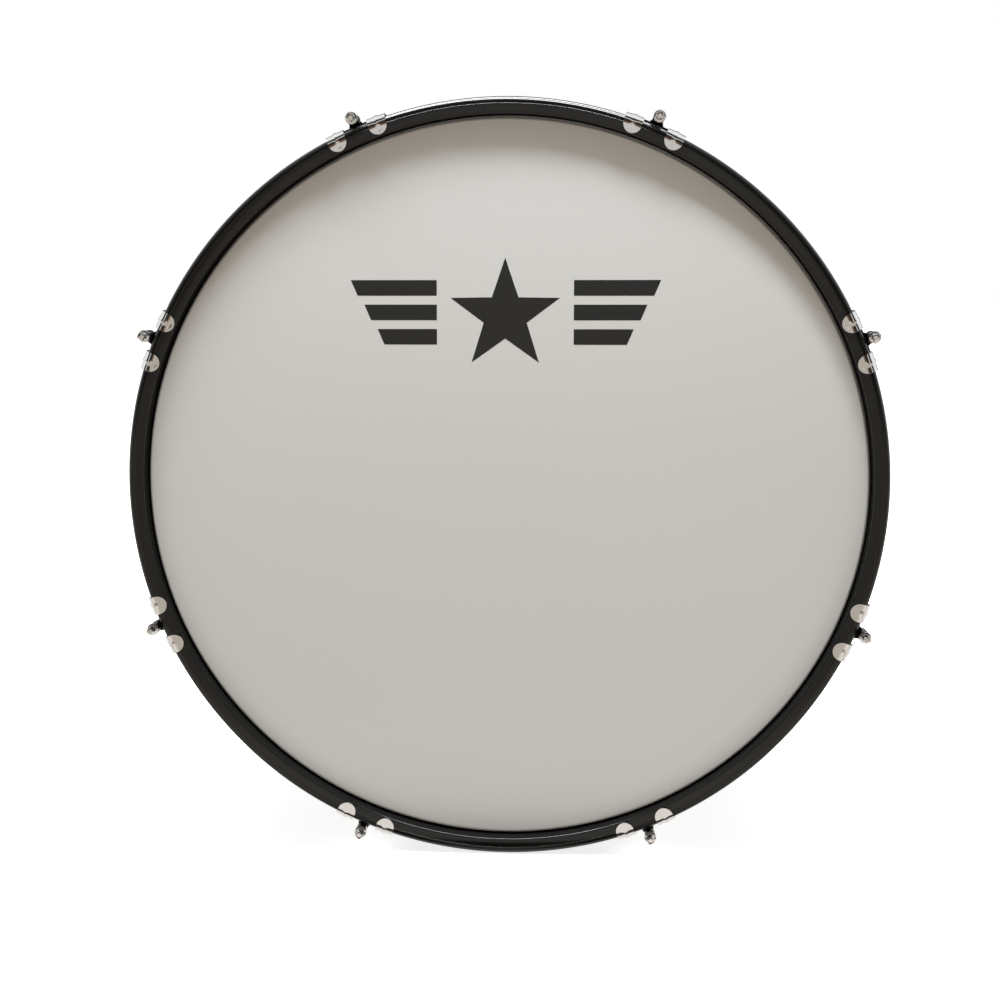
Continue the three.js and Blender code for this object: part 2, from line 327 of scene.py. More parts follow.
def to_station(piece, station, side):
    """Turn a mesh made at the top of the batter side to its station on a side."""
    turn = Matrix.Rotation((station - 0.5) * STATION_ANGLE, 4, "Y")
    flip = Matrix.Rotation(math.pi if side == "resonant" else 0, 4, "Z")
    piece.matrix_world = Matrix.Translation((0, 0, CENTRE * MM)) @ turn @ flip


def joined(name, pieces, materials, sharp=35, cutters=()):
    """Union closed meshes into one closed mesh, then take the cutters out of it."""
    base = pieces[0]
    steps = [("UNION", other) for other in pieces[1:]]
    steps += [("DIFFERENCE", other) for other in cutters]
    for operation, other in steps:
        modifier = base.modifiers.new(operation.lower(), "BOOLEAN")
        modifier.operation = operation
        modifier.solver = "EXACT"
        modifier.object = other
    graph = bpy.context.evaluated_depsgraph_get()
    mesh = bpy.data.meshes.new_from_object(base.evaluated_get(graph))
    for piece in (*pieces, *cutters):
        bpy.data.objects.remove(piece)
    bm = bmesh.new()
    bm.from_mesh(mesh)
    bpy.data.meshes.remove(mesh)
    return finish_mesh(name, bm, materials, sharp)


def bevelled(piece, width, segments=2, angle=40):
    """Round off the edges sharper than angle."""
    modifier = piece.modifiers.new("bevel", "BEVEL")
    modifier.width = width * MM
    modifier.segments = segments
    modifier.limit_method = "ANGLE"
    modifier.angle_limit = math.radians(angle)
    graph = bpy.context.evaluated_depsgraph_get()
    mesh = bpy.data.meshes.new_from_object(piece.evaluated_get(graph))
    piece.modifiers.clear()
    piece.data = mesh
    return piece


# ---- materials ------------------------------------------------------------------------------


def new_material(name, **sockets):
    material = bpy.data.materials.new(name)
    material.use_nodes = True
    shader = material.node_tree.nodes["Principled BSDF"]
    for socket, value in sockets.items():
        shader.inputs[socket.replace("_", " ")].default_value = value
    return material, material.node_tree, shader


def add(tree, kind, **values):
    node = tree.nodes.new(kind)
    for key, value in values.items():
        if key in node.inputs:
            node.inputs[key].default_value = value
        else:
            setattr(node, key, value)
    return node


def object_point(tree, scale=(1, 1, 1)):
    coordinates = add(tree, "ShaderNodeTexCoord")
    mapping = add(tree, "ShaderNodeMapping", Scale=scale)
    tree.links.new(coordinates.outputs["Object"], mapping.inputs["Vector"])
    return mapping.outputs["Vector"]


def noise(tree, vector, scale, detail=3.0):
    node = add(tree, "ShaderNodeTexNoise", Scale=scale, Detail=detail)
    tree.links.new(vector, node.inputs["Vector"])
    return node.outputs["Fac"]


def ranged(tree, value, low, high, floor=0.0, ceiling=1.0):
    node = add(tree, "ShaderNodeMapRange")
    node.inputs["From Min"].default_value = floor
    node.inputs["From Max"].default_value = ceiling
    node.inputs["To Min"].default_value = low
    node.inputs["To Max"].default_value = high
    tree.links.new(value, node.inputs["Value"])
    return node.outputs["Result"]


def bump(tree, shader, height, strength, distance):
    node = add(tree, "ShaderNodeBump", Strength=strength, Distance=distance)
    tree.links.new(height, node.inputs["Height"])
    tree.links.new(node.outputs["Normal"], shader.inputs["Normal"])


def mixed(tree, factor, first, second):
    node = add(tree, "ShaderNodeMix", data_type="RGBA")
    node.inputs["A"].default_value = (*first, 1)
    node.inputs["B"].default_value = (*second, 1)
    tree.links.new(factor, node.inputs["Factor"])
    return node.outputs["Result"]


def tinted(tree, shader, factor, first, second):
    """Base colour that wanders between two tints."""
    tree.links.new(mixed(tree, factor, first, second), shader.inputs["Base Color"])


def colour_ramp(tree, factor, tints):
    """A ramp through [position, colour] stops."""
    ramp = add(tree, "ShaderNodeValToRGB")
    stops = ramp.color_ramp.elements
    (first, tint), *others = tints
    stops[0].position, stops[0].color = first, (*tint, 1)
    last, tint = others.pop()
    stops[1].position, stops[1].color = last, (*tint, 1)
    for position, tint in others:
        stops.new(position).color = (*tint, 1)
    tree.links.new(factor, ramp.inputs["Fac"])
    return ramp.outputs["Color"]


def film_material():
    material, tree, shader = new_material(
        "head_film", Roughness=0.42, Coat_Weight=0.6, Coat_Roughness=0.07, Coat_IOR=1.5)
    point = object_point(tree)
    cloud = ranged(tree, noise(tree, point, 3.5, 4), 0, 1, 0.3, 0.7)
    tinted(tree, shader, cloud, (0.793, 0.785, 0.768), (0.808, 0.800, 0.783))
    grain = noise(tree, point, 2600, 2)
    bump(tree, shader, grain, 0.05, 0.00005)
    return material


def ink_material():
    material, tree, shader = new_material("printed_ink", Roughness=0.45)
    point = object_point(tree)
    patch = noise(tree, point, 900, 3)
    tinted(tree, shader, patch, (0.008, 0.008, 0.008), (0.02, 0.02, 0.021))
    bump(tree, shader, patch, 0.1, 0.00005)
    return material


def lacquer_material():
    material, tree, shader = new_material("hoop_lacquer", IOR=1.46, Roughness=0.15)
    point = object_point(tree)
    mottle = noise(tree, point, 9, 3)
    tinted(tree, shader, mottle, (0.004, 0.004, 0.0038), (0.006, 0.0058, 0.0054))
    return material


def raw_edge_material():
    """The hoop's inner wall, painted flat black."""
    material, tree, shader = new_material("hoop_inner_wall", Roughness=0.85)
    shader.inputs["Specular IOR Level"].default_value = 0.08
    point = object_point(tree)
    brushed = noise(tree, point, 120, 4)
    tinted(tree, shader, brushed, (0.008, 0.008, 0.0075), (0.014, 0.0135, 0.0125))
    return material


def wrap_material():
    material, tree, shader = new_material("shell_wrap", Coat_Weight=0.8, Coat_Roughness=0.04)
    point = object_point(tree)
    mottle = noise(tree, point, 9, 4)
    tinted(tree, shader, mottle, (0.008, 0.008, 0.008), (0.014, 0.014, 0.014))
    tree.links.new(ranged(tree, noise(tree, point, 40, 5), 0.16, 0.30), shader.inputs["Roughness"])
    bump(tree, shader, noise(tree, point, 160, 2), 0.06, 0.0002)
    return material


def ply_material():
    material, tree, shader = new_material("shell_ply", Roughness=0.55)
    point = object_point(tree, (1, 8, 1))
    grain = noise(tree, point, 22, 7)
    tinted(tree, shader, ranged(tree, grain, 0, 1, 0.35, 0.7),
           (0.42, 0.26, 0.13), (0.60, 0.42, 0.24))
    bump(tree, shader, grain, 0.25, 0.0003)
    return material


def metal_material(name, color, low, high, scale=120):
    material, tree, shader = new_material(name, Metallic=1.0)
    shader.inputs["Base Color"].default_value = (*color, 1)
    point = object_point(tree)
    wear = noise(tree, point, scale, 5)
    tree.links.new(ranged(tree, wear, low, high), shader.inputs["Roughness"])
    bump(tree, shader, noise(tree, point, scale * 6, 2), 0.04, 0.0001)
    return material


def rubber_material():
    material, tree, shader = new_material("gasket", Roughness=0.7)
    point = object_point(tree)
    bloom = noise(tree, point, 500, 3)
    tinted(tree, shader, bloom, (0.012, 0.012, 0.012), (0.03, 0.03, 0.03))
    bump(tree, shader, noise(tree, point, 1500, 3), 0.2, 0.0002)
    return material


FILM = film_material()
INK = ink_material()
LACQUER = lacquer_material()
RAW_EDGE = raw_edge_material()
WRAP = wrap_material()
PLY = ply_material()
CHROME = metal_material("chrome", (0.80, 0.80, 0.81), 0.04, 0.12)
ALUMINIUM = metal_material("aluminium", (0.60, 0.61, 0.62), 0.25, 0.42)
ZINC = metal_material("zinc_plate", (0.52, 0.53, 0.54), 0.3, 0.5)
RUBBER = rubber_material()

# ---- rings ----------------------------------------------------------------------------------


def drum_piece(name, bm, materials, sharp, node=None):
    """Finish a mesh that is fixed to the drum's body."""
    piece = finish_mesh(name, bm, materials, sharp)
    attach(piece, "drum")
    if node:
        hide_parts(node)


def counterhoop(side):
    """A lacquered hoop: inner edge, flat face with a fine bead, and a rounded outer shoulder."""
    front, back, outer = HOOP_FRONT, HOOP_BACK, HOOP_RADIUS
    inner_edge = (HOOP_INNER + HOOP_INNER_EDGE, front - HOOP_INNER_EDGE - 0.2)
    shoulder = (outer - HOOP_SHOULDER, front - 0.4 - HOOP_SHOULDER)
    back_edge = (outer - HOOP_BACK_EDGE, back + HOOP_BACK_EDGE)
    skirt_edge = (HOOP_SKIRT_INNER + HOOP_SKIRT_EDGE, back + HOOP_SKIRT_EDGE)
    profile = [
        (HOOP_INNER, FLESH_FRONT + 0.5),
        *arc(inner_edge, HOOP_INNER_EDGE, 180, 90, 6),
        (HOOP_INNER + 4.0, front - 0.2),
        (HOOP_INNER + 7.6, front - 0.25),
        *arc((HOOP_INNER + HOOP_BEAD_INSET, front - 0.5), HOOP_BEAD_RADIUS, 150, 30, 6),
        *arc(shoulder, HOOP_SHOULDER, 86, 0, 18),
        *arc(back_edge, HOOP_BACK_EDGE, 0, -90, 4),
        *arc(skirt_edge, HOOP_SKIRT_EDGE, -90, -180, 3),
        (HOOP_SKIRT_INNER, FLESH_FRONT + 0.35),
    ]
    bm = bmesh.new()
    inner_wall, skirt = 0, len(profile) - 1
    lathe(bm, profile, RING_SIDES, about_drum(side), second=(inner_wall, skirt))
    drum_piece(f"{side}_counterhoop_fine", bm, [LACQUER, RAW_EDGE], 50,
               f"{side}_counterhoop")


def flesh_hoop(side):
    """A drawn channel, open at the front, with the film's rim bedded in it."""
    inner = COLLAR_RADIUS + 0.3
    front, back, outer = FLESH_FRONT, FLESH_BACK, FLESH_RADIUS
    profile = [
        (inner, front),
        *arc((inner + FLESH_CORNER, back + FLESH_CORNER), FLESH_CORNER, 180, 270, 4),
        *arc((outer - FLESH_CORNER, back + FLESH_CORNER), FLESH_CORNER, 270, 360, 4),
        *arc((outer - FLESH_LIP, front - FLESH_LIP), FLESH_LIP, 0, 90, 3),
        (outer - FLESH_WALL, front),
        (outer - FLESH_WALL, front - FLESH_BED),
        (inner + FLESH_WALL, front - FLESH_BED),
        (inner + FLESH_WALL, front),
    ]
    bm = bmesh.new()
    lathe(bm, profile, RING_SIDES, about_drum(side))
    drum_piece(f"{side}_flesh_hoop_fine", bm, [ALUMINIUM], 50, f"{side}_flesh_hoop")


def film(side):
    """The film: flat, then rolled over the bearing edge into its collar."""
    outer = COLLAR_RADIUS
    inner = outer - FILM_THICKNESS
    roll = (outer - FILM_ROLL, FILM_FRONT - FILM_ROLL)
    top = [(r, FILM_FRONT) for r in FILM_RINGS]
    crown = arc(roll, FILM_ROLL, 90, 0, 8)
    under = arc(roll, FILM_ROLL - FILM_THICKNESS, 0, 90, 8)
    bottom = [(r, FILM_FRONT - FILM_THICKNESS) for r in reversed(FILM_RINGS)]
    profile = [*top, *crown, (outer, COLLAR_END), (inner, COLLAR_END), *under, *bottom]
    bm = bmesh.new()
    capped_lathe(bm, profile, RING_SIDES, about_drum(side))
    drum_piece(f"{side}_film", bm, [FILM], 40, f"{side}_head")


def shell():
    """The plywood tube with its bearing edges, and the covering with its lap."""
    ply_outer = SHELL_RADIUS - WRAP_THICKNESS
    peak = SHELL_RADIUS - EDGE_INSET
    half = SHELL_HALF
    bevel = peak - SHELL_INNER
    end = [
        (SHELL_INNER, half - bevel),
        (peak - EDGE_ROUNDING, half - EDGE_ROUNDING),
        (peak, half - 0.15),
        (peak + EDGE_ROUNDING, half - EDGE_ROUNDING),
        (ply_outer, half - EDGE_ROUNDOVER),
    ]
    profile = [*end, *[(r, -out) for r, out in reversed(end)]]
    bm = bmesh.new()
    lathe(bm, profile, RING_SIDES, about_drum(None))
    drum_piece("shell_ply", bm, [PLY], 30, "shell")

    wrap_half = half - WRAP_INSET
    glued = ply_outer + WRAP_GLUE
    bm = bmesh.new()
    lathe(bm, [
        (glued, -wrap_half),
        (glued, wrap_half),
        (SHELL_RADIUS - WRAP_CHAMFER, wrap_half),
        (SHELL_RADIUS, wrap_half - 2 * WRAP_CHAMFER),
        (SHELL_RADIUS, -wrap_half + 2 * WRAP_CHAMFER),
        (SHELL_RADIUS - WRAP_CHAMFER, -wrap_half),
    ], RING_SIDES, about_drum(None))
    drum_piece("shell_covering", bm, [WRAP], 50)
    covering_lap(wrap_half)


def covering_lap(half_length):
    """The strip where the covering's end overlaps its start, along the bottom of the shell."""
    place = about_drum(None)
    bm = bmesh.new()
    ends = []
    for out in (-half_length, half_length):
        ends.append([bm.verts.new(place(SHELL_RADIUS + lift, math.pi + x / SHELL_RADIUS, out))
                     for x, lift in LAP_SECTION])
    skinned(bm, ends)
    drum_piece("shell_covering_lap", bm, [WRAP], 30)


# ---- tension hardware -----------------------------------------------------------------------


def claw_line(d):
    """Middle of an arm's sheet at distance d from the tip, as a [radius, out] point and its normal.

    It runs over the face, round the shoulder, down the strap and out at the lip.
    """
    if d < CLAW_FLAT:
        return (CLAW_TIP + d, CLAW_FACE), (0.0, 1.0)
    d -= CLAW_FLAT
    if d < CLAW_BEND:
        a = math.pi / 2 - d / BEND_RADIUS
        centre = (STRAP_RADIUS - BEND_RADIUS, CLAW_FACE - BEND_RADIUS)
        across, out = math.cos(a), math.sin(a)
        return (centre[0] + BEND_RADIUS * across, centre[1] + BEND_RADIUS * out), (across, out)
    d -= CLAW_BEND
    if d < CLAW_STRAIGHT:
        return (STRAP_RADIUS, CLAW_FACE - BEND_RADIUS - d), (1.0, 0.0)
    d -= CLAW_STRAIGHT
    a = min(d / LIP_RADIUS, math.radians(LIP_SWEEP))
    across, out = math.cos(a), math.sin(a)
    return (STRAP_RADIUS + LIP_RADIUS * (1 - across), STRAP_BACK - LIP_RADIUS * out), (across, out)


def claw_rib(d, x):
    """Lift of the rib pressed along the middle of the bend, and of the dimple on the face."""
    run_in = max(0.0, min(1.0, (d - RIB_START) / RIB_RUN_IN))
    run_out = max(0.0, min(1.0, (RIB_END - d) / RIB_RUN_OUT))
    rise = run_in * run_out
    rise = rise * rise * (3 - 2 * rise)
    rib = RIB_HEIGHT * rise * math.exp(-((x / RIB_HALF_WIDTH) ** 4))
    along = ((d - DIMPLE_PLACE) / DIMPLE_LENGTH) ** 2
    return rib - DIMPLE_DEPTH * math.exp(-along - (x / DIMPLE_WIDTH) ** 2)


def arm_mesh(angle):
    """One arm of a claw: a bent strip of sheet with a rounded tip, at an angle round the drum."""
    half = CLAW_WIDTH / 2
    bm = bmesh.new()
    layers = []
    for layer in (1, -1):
        grid = []
        for row in range(CLAW_ROWS + 1):
            line = []
            for column in range(CLAW_COLUMNS + 1):
                v = math.sin(math.pi / 2 * (2 * column / CLAW_COLUMNS - 1))
                start = half * (1 - math.sqrt(max(0.0, 1 - v * v)))
                d = start + row / CLAW_ROWS * (CLAW_LENGTH - start)
                (r, out), (nr, nout) = claw_line(d)
                lift = layer * CLAW_SHEET / 2 + claw_rib(d, v * half)
                theta = angle + v * half / STRAP_RADIUS
                line.append(bm.verts.new(about_axis(r + nr * lift, theta, out + nout * lift)))
            grid.append(line)
        layers.append(grid)
        for here, there in zip(grid, grid[1:]):
            for j in range(CLAW_COLUMNS):
                bm.faces.new((here[j], here[j + 1], there[j + 1], there[j]))
    top, under = layers
    for i in range(CLAW_ROWS):
        for j in (0, CLAW_COLUMNS):
            bm.faces.new((top[i][j], top[i + 1][j], under[i + 1][j], under[i][j]))
    for j in range(CLAW_COLUMNS):
        for i in (0, CLAW_ROWS):
            bm.faces.new((top[i][j], top[i][j + 1], under[i][j + 1], under[i][j]))
    return bevelled(finish_mesh("arm", bm, []), 0.3)


def bridge_mesh():
    """The curved bar that joins the straps of a claw's two arms."""
    steps = 12
    half = CLAW_SPACING / 2 - CLAW_WIDTH / 2 + 3
    section = [
        (BRIDGE_UNDER, BRIDGE_BACK), (BRIDGE_TOP, BRIDGE_BACK),
        (BRIDGE_TOP, BRIDGE_FRONT), (BRIDGE_UNDER, BRIDGE_FRONT - BRIDGE_SLOPE),
    ]
    bm = bmesh.new()
    rows = []
    for i in range(steps + 1):
        theta = (2 * i / steps - 1) * half / STRAP_RADIUS
        rows.append([bm.verts.new(about_axis(r, theta, out)) for r, out in section])
    skinned(bm, rows)
    return finish_mesh("bridge", bm, [])


def neck_mesh():
    """The ear between the arms: it rises from the bridge and leans forward into the boss."""
    low, high = STRAP_RADIUS - 0.2, ROD_CIRCLE - 1.5
    steps, sides = 10, 24
    bm = bmesh.new()
    rings = []
    for i in range(steps + 1):
        t = i / steps
        half_x = NECK_HALF_WIDTH + NECK_FLARE * (1 - t) ** FLARE_POWER
        front = BRIDGE_FRONT - 1.0 + (BOSS_FRONT - BRIDGE_FRONT - 1.0) * t
        back = BRIDGE_BACK + 1.0 + (BOSS_BACK - BRIDGE_BACK + 1.0) * t
        middle, half_y = (front + back) / 2, (front - back) / 2
        ring = []
        for q in range(sides):
            a = 2 * math.pi * q / sides
            c, w = math.cos(a), math.sin(a)
            x = half_x * math.copysign(abs(c) ** NECK_SQUARENESS, c)
            y = half_y * math.copysign(abs(w) ** NECK_SQUARENESS, w)
            height = low + (high - low) * t
            ring.append(bm.verts.new(Vector((x, -middle + y, height)) * MM))
        rings.append(ring)
    skinned(bm, rings)
    return finish_mesh("neck", bm, [])


def boss_mesh():
    sides = 32
    profile = [
        (BORE, BOSS_BACK + 0.4), (BORE + 0.4, BOSS_BACK),
        *arc((BOSS_RADIUS - BOSS_EDGE, BOSS_BACK + BOSS_EDGE), BOSS_EDGE, -90, 0, 3),
        *arc((BOSS_RADIUS - BOSS_EDGE, BOSS_FRONT - BOSS_EDGE), BOSS_EDGE, 0, 90, 3),
        (BORE + 0.4, BOSS_FRONT), (BORE, BOSS_FRONT - 0.4),
    ]
    bm = bmesh.new()
    lathe(bm, profile, sides, about_rod)
    boss = finish_mesh("boss", bm, [])
    bm = bmesh.new()
    drilled = BORE + 0.02
    capped_lathe(bm, [(drilled, BOSS_BACK - 1), (drilled, BOSS_FRONT + 1)], sides, about_rod)
    return boss, finish_mesh("drill", bm, [])


def claw_mesh():
    """A double claw: two arms joined by a bridge, with a neck up to the boss round the rod."""
    swing = CLAW_SPACING / 2 / STRAP_RADIUS
    arms = [arm_mesh(way * swing) for way in (-1, 1)]
    bridge, neck = bridge_mesh(), neck_mesh()
    boss, drill = boss_mesh()
    return joined("claw_fine", [*arms, bridge, neck, boss], [CHROME], 30, [drill])


def rod_mesh():
    """The shank with its rolled thread, the collar and the square head with chamfered corners."""
    bm = bmesh.new()
    rings = []

    def ring(radius_at, out):
        angles = [2 * math.pi * i / ROD_SIDES for i in range(ROD_SIDES)]
        rings.append([bm.verts.new(about_rod(radius_at(a), a, out)) for a in angles])

    ring(lambda a: ROD_RADIUS - THREAD_DEPTH - 0.6, ROD_TIP)
    turns = int(THREAD_LENGTH / THREAD_PITCH)
    last = turns * THREAD_STEPS
    for step in range(last + 1):
        out = ROD_TIP + THREAD_LEAD + step * THREAD_PITCH / THREAD_STEPS
        taper = min(1.0, (last - step) / (2 * THREAD_STEPS), (step + 2) / THREAD_STEPS)

        def thread(a, out=out, taper=taper):
            phase = (out / THREAD_PITCH - a / (2 * math.pi)) % 1.0
            groove = 1 - abs(2 * phase - 1)
            return ROD_RADIUS - THREAD_DEPTH * groove * max(0.0, taper)

        ring(thread, out)
    shank = ROD_TIP + THREAD_LEAD + turns * THREAD_PITCH + THREAD_LEAD
    for out in (shank, COLLAR_BACK):
        ring(lambda a: ROD_RADIUS, out)
    collar = [
        (5.2, COLLAR_BACK), (5.7, COLLAR_BACK + 0.35), (5.7, COLLAR_FRONT - 0.7),
        *[(r, COLLAR_FRONT + rise) for r, rise in ROD_COLLAR],
    ]
    for r, out in collar:
        ring(lambda a, r=r: r, out)
    skinned(bm, rings)
    shaft = finish_mesh("shaft", bm, [], 60)

    bm = bmesh.new()
    levels = [
        (KEY_HALF - 0.25, COLLAR_FRONT + 0.4), (KEY_HALF, COLLAR_FRONT + 0.9),
        (KEY_HALF - 0.05, KEY_TIP - 1.3), (KEY_HALF - 0.35, KEY_TIP - 0.5),
        (KEY_HALF - 1.2, KEY_TIP),
    ]
    loops = []
    for half, out in levels:
        corners = []
        for sx, sz in ((1, 1), (-1, 1), (-1, -1), (1, -1)):
            pair = [(sx * half, sz * (half - KEY_CORNER)), (sx * (half - KEY_CORNER), sz * half)]
            if sx * sz < 0:
                pair.reverse()
            corners += pair
        loops.append([bm.verts.new(Vector((x, -out, ROD_CIRCLE + z)) * MM) for x, z in corners])
    skinned(bm, loops)
    key = bevelled(finish_mesh("key", bm, []), 0.18, 2, 30)
    return joined("rod_fine", [shaft, key], [CHROME], 35)


def lug_mesh():
    """A tube lug: beaded tube with a collar at its middle, on a turned post."""
    half = LUG_HALF
    outer = [
        *arc((TUBE_BEAD_CENTRE, half - 0.8), TUBE_BEAD, 90, 0, 4),
        *arc((TUBE_BEAD_CENTRE, half - 4.2), TUBE_BEAD, 0, -90, 4),
        *[(r, half - depth) for r, depth in TUBE_NECK],
        *TUBE_MIDDLE,
    ]
    whole = [*outer, *[(r, -out) for r, out in reversed(outer[:-1])]]
    mouth = [(BORE, half - 0.5), (BORE + 0.5, half)]
    profile = [*mouth, *whole, *[(r, -out) for r, out in reversed(mouth)]]
    bm = bmesh.new()
    lathe(bm, profile, 40, about_rod)
    tube = finish_mesh("tube", bm, [])

    stem_start = POST_BASE + POST_STEM_START
    stem = []
    for t in [i / 10 for i in range(11)]:
        flare = POST_FLARE * (1 - t) ** FLARE_POWER
        swell = POST_SWELL * max(0.0, t - POST_SWELL_START) ** 2
        stem.append((POST_WAIST + flare + swell, stem_start + t * (POST_TOP - stem_start)))
    bm = bmesh.new()
    foot = [(r, POST_BASE + rise) for r, rise in POST_FOOT]
    capped_lathe(bm, [*foot, *stem], 40, about_radius)
    post = finish_mesh("post", bm, [])
    return joined("lug_fine", [tube, post], [CHROME], 30)


def gasket_mesh():
    bm = bmesh.new()
    lathe(bm, [(r, GASKET_BASE + rise) for r, rise in GASKET], 40, about_radius)
    return finish_mesh("gasket_fine", bm, [RUBBER], 50)


def lug_screw_mesh():
    """A hexagon-headed screw with a domed washer, inside the shell."""
    shank = [(r, SHELL_RADIUS + reach) for r, reach in SCREW_SHANK]
    washer_rings = [(r, SCREW_SEAT - drop) for r, drop in SCREW_WASHER]
    bm = bmesh.new()
    capped_lathe(bm, [*shank, *washer_rings], 36, about_radius)
    washer = finish_mesh("washer", bm, [])
    bm = bmesh.new()
    capped_lathe(bm, [(r, SCREW_SEAT - drop) for r, drop in SCREW_HEXAGON], 6, about_radius)
    head = finish_mesh("head", bm, [])
    return joined("lug_screw_fine", [washer, head], [ZINC], 30)


def grommet():
    """The vent's eyelet, rolled over on both sides of the wall."""
    outer, inner = SHELL_RADIUS, SHELL_INNER
    profile = [
        (GROMMET_BORE, inner - 0.6),
        *arc((9.2, inner - 0.2), 1.4, 235, 300, 4),
        (11.8, inner - 0.15), (GROMMET_BARREL, inner), (GROMMET_BARREL, outer), (11.9, outer + 0.1),
        *arc((9.4, outer + 0.3), 1.5, 40, 140, 8),
        (6.4, outer + 0.5), (GROMMET_BORE, outer - 0.3),
    ]

    def place(r, angle, height):
        return Vector((r * math.cos(angle), r * math.sin(angle), CENTRE + height)) * MM

    bm = bmesh.new()
    lathe(bm, profile, 48, place)
    drum_piece("vent_grommet_fine", bm, [CHROME], 40, "vent_grommet")


def copied(master, name, station, side, body, node=None, spin=0.0):
    """Put a copy of a master mesh at its station, turned by spin about the rod's axis."""
    piece = bpy.data.objects.new(name, master.data)
    bpy.context.scene.collection.objects.link(piece)
    to_station(piece, station, side)
    if spin:
        axis_point = Vector((0, 0, ROD_CIRCLE * MM))
        piece.matrix_world = (piece.matrix_world @ Matrix.Translation(axis_point)
                              @ Matrix.Rotation(spin, 4, "Y") @ Matrix.Translation(-axis_point))
    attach(piece, body)
    if node:
        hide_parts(node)


def tension_hardware():
    masters = [claw_mesh(), rod_mesh(), lug_mesh(), gasket_mesh(), lug_screw_mesh()]
    claw, rod, lug, gasket, screw = masters
    for station in range(1, STATIONS + 1):
        copied(lug, f"lug_fine_{station}", station, "batter", "drum", f"lug_{station}")
        copied(gasket, f"lug_gasket_{station}", station, "batter", "drum", None)
        copied(screw, f"lug_screw_fine_{station}", station, "batter", "drum",
               f"lug_screw_{station}")
        for side in SIDES:
            claw_node, rod_node = f"{side}_claw_{station}", f"{side}_rod_{station}"
            copied(claw, f"{side}_claw_fine_{station}", station, side, claw_node, claw_node)
            turn = math.radians(ROD_TURN * station + ROD_START[side])
            copied(rod, f"{side}_rod_fine_{station}", station, side, rod_node, rod_node,
                   turn)
    for master in masters:
        bpy.data.objects.remove(master)


# ---- printed emblem -------------------------------------------------------------------------


def emblem():
    """A plain five-pointed star between tapering bars, printed on the batter film."""
    middle = CENTRE + EMBLEM_HEIGHT
    plane = FILM_FRONT + INK_LIFT
    star = []
    for i in range(10):
        radius = STAR_OUTER if i % 2 == 0 else STAR_INNER
        angle = math.pi / 2 + i * math.pi / 5
        star.append((radius * math.cos(angle), radius * math.sin(angle) - STAR_DROP))
    outlines = [star]
    for way in (-1, 1):
        for height, reach in BAR_ROWS:
            low, high = height - BAR_HALF, height + BAR_HALF
            bar = [(way * BAR_START, low), (way * (reach - BAR_SLANT), low),
                   (way * reach, high), (way * BAR_START, high)]
            outlines.append(bar if way > 0 else bar[::-1])
    bm = bmesh.new()
    for outline in outlines:
        count = len(outline)
        hub = (sum(x for x, z in outline) / count, sum(z for x, z in outline) / count)
        loops = []
        for out in (plane, plane + INK_THICKNESS):
            loops.append([bm.verts.new(Vector((x, -out, middle + z)) * MM)
                          for x, z in [*outline, hub]])
        bridged(bm, loops[0][:-1], loops[1][:-1])
        for i in range(count):
            k = (i + 1) % count
            for loop in loops:
                bm.faces.new((loop[i], loop[k], loop[count]))
    drum_piece("batter_emblem", bm, [INK], 30)


# ---- studio ---------------------------------------------------------------------------------

CAMERA_DISTANCE = 1.35
CAMERA_RISE = 7.5  # degrees above the drum's axis
CAMERA_TURN = 3.0  # degrees round to the right of the drum's axis
SENSOR = 36.0
FRAME_FILL = 0.765  # the hoop's width as a part of the picture's width
PICTURE_CENTRE = (0.5045, 0.4875)  # where the drum's middle falls, from the left and the top

FLOOR_REACH = 60.0
FLOOR_LEVEL = -0.0003
FLOOR_GLOW = 0.78
FLOOR_SPAN = (-0.75, -0.15)  # metres along the drum's axis that the floor's painted bounce light and painted shadow run over
# painted bounce light that the floor gives back: dimmer far out, with a painted shadow band close
# before the batter hoop, where the drum shades the floor
FLOOR_BOUNCE_AND_SHADOW = [
    (0.083, (0.52, 0.47, 0.40)),
    (0.500, (0.82, 0.75, 0.66)),
    (0.915, (0.86, 0.81, 0.74)),
    (0.930, (0.03, 0.025, 0.02)),
    (0.958, (0.03, 0.025, 0.02)),
    (0.972, (0.90, 0.87, 0.82)),
]
# what lies round the drum, from straight before the batter head (0) to straight behind (1)
ROOM = [
    (0.000, (0.66, 0.64, 0.61)),
    (0.015, (0.62, 0.59, 0.55)),
    (0.024, (0.17, 0.11, 0.07)),
    (0.070, (0.10, 0.06, 0.035)),
    (0.090, (0.02, 0.018, 0.015)),
    (0.200, (0.03, 0.03, 0.03)),
    (0.225, (0.62, 0.60, 0.57)),
    (0.270, (0.55, 0.53, 0.50)),
    (0.300, (0.04, 0.035, 0.03)),
    (0.430, (0.05, 0.05, 0.045)),
    (0.470, (1.00, 1.00, 0.99)),
    (0.840, (0.92, 0.92, 0.92)),
    (0.900, (0.12, 0.12, 0.12)),
    (1.000, (0.08, 0.08, 0.08)),
]


def camera():
    aim = Vector((0, -HOOP_FRONT, CENTRE)) * MM
    rise, turn = math.radians(CAMERA_RISE), math.radians(CAMERA_TURN)
    level = math.cos(rise)
    back = Vector((math.sin(turn) * level, -math.cos(turn) * level, math.sin(rise)))
    data = bpy.data.cameras.new("camera")
    data.sensor_width = SENSOR
    data.lens = SENSOR * FRAME_FILL * CAMERA_DISTANCE / (2 * HOOP_RADIUS * MM)
    data.shift_x = 0.5 - PICTURE_CENTRE[0]
    data.shift_y = PICTURE_CENTRE[1] - 0.5
    viewer = bpy.data.objects.new("camera", data)
    viewer.location = aim + back * CAMERA_DISTANCE
    viewer.rotation_euler = (-back).to_track_quat("-Z", "Y").to_euler()
    bpy.context.scene.collection.objects.link(viewer)
    bpy.context.scene.camera = viewer


